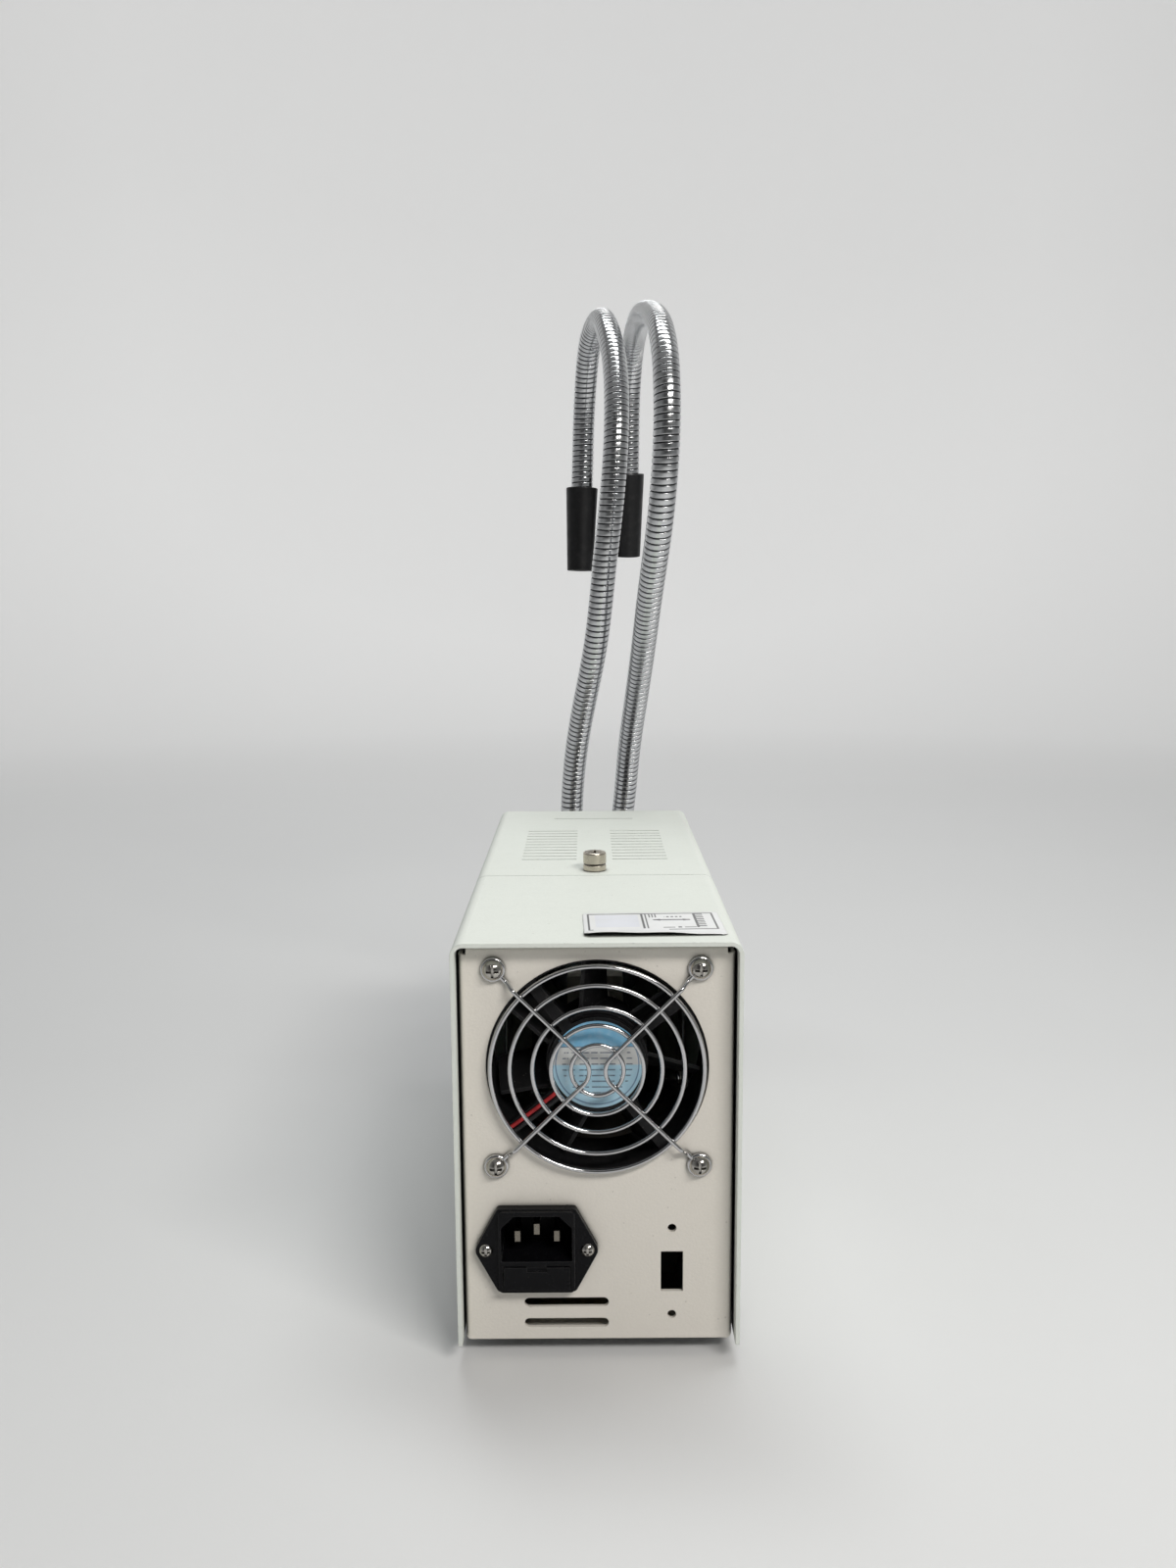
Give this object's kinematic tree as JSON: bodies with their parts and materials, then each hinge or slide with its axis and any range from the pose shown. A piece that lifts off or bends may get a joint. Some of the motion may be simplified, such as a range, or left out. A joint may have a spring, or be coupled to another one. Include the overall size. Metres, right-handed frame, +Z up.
{
  "type": "fiber optic illuminator",
  "caption": "Bench light source: sheet metal lamp house with rear fan, mains inlet and front controls, and a pull-out light guide with two gooseneck arms.",
  "frame": {"origin": "middle of the whole object's footprint, on the bench under the rubber feet", "axes": "+Z up, +Y from the rear panel with the fan to the front with the light guide, +X to the right when seen from the rear"},
  "size_m": [0.1, 0.4009, 0.4314],
  "materials": {
    "case_paint": "fine textured off-white powder paint",
    "panel_paint": "fine textured off-white powder paint",
    "zinc_steel": "zinc plated",
    "guard_chrome": "bright chrome",
    "hose_chrome": "bright chrome, wound metal hose",
    "nickel": "bright nickel",
    "fan_plastic": "black moulded",
    "coil_copper": "enamelled winding",
    "label_film": "printed film",
    "sticker_film": "printed film",
    "lead_red": "insulated lead",
    "inlet_plastic": "glossy black moulded",
    "contact_metal": "plated contact",
    "fuse_glass": "clear glass",
    "foot_rubber": "matt black",
    "reflector_glass": "coated glass",
    "quartz": "clear quartz",
    "ceramic": "white ceramic",
    "lead_sleeve": "woven glass sleeve",
    "filter_glass": "heat absorbing glass",
    "port_metal": "turned aluminium",
    "black_anodised": "black anodised",
    "board_green": "circuit board",
    "board_metal": "mixed components",
    "core_iron": "laminated core, varnished",
    "fibre_glass": "polished fibre bundle",
    "control_plastic": "black moulded"
  },
  "bodies": {
    "case": {"chassis_pan": "zinc_steel", "rear_panel": "panel_paint", "front_panel": "panel_paint", "outer_cover": "case_paint", "seam_bridge": "zinc_steel", "cover_screws": "nickel", "rubber_feet": "foot_rubber", "foot_screws": "nickel", "top_sticker": "sticker_film", "fan_frame": "fan_plastic", "fan_coils": "coil_copper", "fan_label": "label_film", "fan_leads": "lead_red", "finger_guard": "guard_chrome", "guard_screws": "guard_chrome", "guard_nuts": "nickel", "mains_inlet": "inlet_plastic", "inlet_pins": "contact_metal", "inlet_screws": "nickel", "inlet_nuts": "nickel", "lamp_reflector": "reflector_glass", "lamp_capsule": "quartz", "lamp_socket": "ceramic", "lamp_leads": "lead_sleeve", "lamp_bracket": "zinc_steel", "heat_filter": "filter_glass", "light_port": "port_metal", "port_screws": "nickel", "potentiometer": "zinc_steel", "potentiometer_nut": "nickel", "switch_body": "control_plastic", "transformer": "core_iron", "control_board": "board_green", "board_standoffs": "nickel", "board_parts": "board_metal"},
    "fan_rotor": {"fan_impeller": "fan_plastic", "fan_shaft": "nickel"},
    "fuse_drawer": {"fuse_drawer": "inlet_plastic", "fuse": "fuse_glass"},
    "lamp_cover": {"lamp_cover": "case_paint", "screw_collar": "nickel"},
    "thumb_screw": {"thumb_screw": "nickel"},
    "light_guide": {"guide_ferrule": "port_metal", "junction_block": "black_anodised", "fibre_trunk": "fibre_glass", "gooseneck_roots": "hose_chrome"},
    "left_arm": {"gooseneck_left_lower": "hose_chrome", "fibre_left_lower": "fibre_glass"},
    "left_arm_end": {"gooseneck_left_upper": "hose_chrome", "guide_tip_left": "black_anodised", "fibre_left_upper": "fibre_glass"},
    "right_arm": {"gooseneck_right_lower": "hose_chrome", "fibre_right_lower": "fibre_glass"},
    "right_arm_end": {"gooseneck_right_upper": "hose_chrome", "guide_tip_right": "black_anodised", "fibre_right_upper": "fibre_glass"},
    "port_lock_screw": {"port_lock_screw": "nickel"},
    "intensity_knob": {"intensity_knob": "control_plastic", "knob_shaft": "nickel"},
    "power_rocker": {"power_rocker": "control_plastic"}
  },
  "joints": [
    {"name": "fan_spin", "type": "hinge", "parent": "case", "child": "fan_rotor", "pos_m": [0, -0.16876, 0.108], "axis": [0, 1, 0], "continuous": true},
    {"name": "fuse_drawer_slide", "type": "slide", "parent": "case", "child": "fuse_drawer", "axis": [0, -1, 0], "range_m": [0, 0.02]},
    {"name": "lamp_cover_lift", "type": "slide", "parent": "case", "child": "lamp_cover", "axis": [0, 0, 1], "range_m": [0, 0.06]},
    {"name": "thumb_screw_turn", "type": "hinge", "parent": "lamp_cover", "child": "thumb_screw", "pos_m": [0, -0.08596, 0.1544], "axis": [0, 0, 1], "range_deg": [0, 720]},
    {"name": "light_guide_slide", "type": "slide", "parent": "case", "child": "light_guide", "axis": [0, 1, 0], "range_m": [0, 0.036]},
    {"name": "port_lock_screw_turn", "type": "hinge", "parent": "case", "child": "port_lock_screw", "pos_m": [0, 0.07074, 0.088], "axis": [0, 0, 1], "range_deg": [0, 720]},
    {"name": "intensity_knob_turn", "type": "hinge", "parent": "case", "child": "intensity_knob", "pos_m": [-0.025, 0.05694, 0.033], "axis": [0, -1, 0], "range_deg": [0, 270]},
    {"name": "power_rocker_tilt", "type": "hinge", "parent": "case", "child": "power_rocker", "pos_m": [0.025, 0.05444, 0.033], "axis": [-1, 0, 0], "range_deg": [0, 16]},
    {"name": "left_arm_bend", "type": "hinge", "parent": "light_guide", "child": "left_arm", "pos_m": [-0.01301, 0.14294, 0.11974], "axis": [1, 0, 0], "range_deg": [-12, 12]},
    {"name": "left_arm_end_bend", "type": "hinge", "parent": "left_arm", "child": "left_arm_end", "pos_m": [0.00724, 0.13297, 0.42338], "axis": [1, 0, 0], "range_deg": [-25, 25]},
    {"name": "right_arm_bend", "type": "hinge", "parent": "light_guide", "child": "right_arm", "pos_m": [0.01571, 0.14293, 0.1197], "axis": [1, 0, 0], "range_deg": [-12, 12]},
    {"name": "right_arm_end_bend", "type": "hinge", "parent": "right_arm", "child": "right_arm_end", "pos_m": [0.02797, 0.12158, 0.4216], "axis": [1, 0, 0], "range_deg": [-25, 25]}
  ]
}
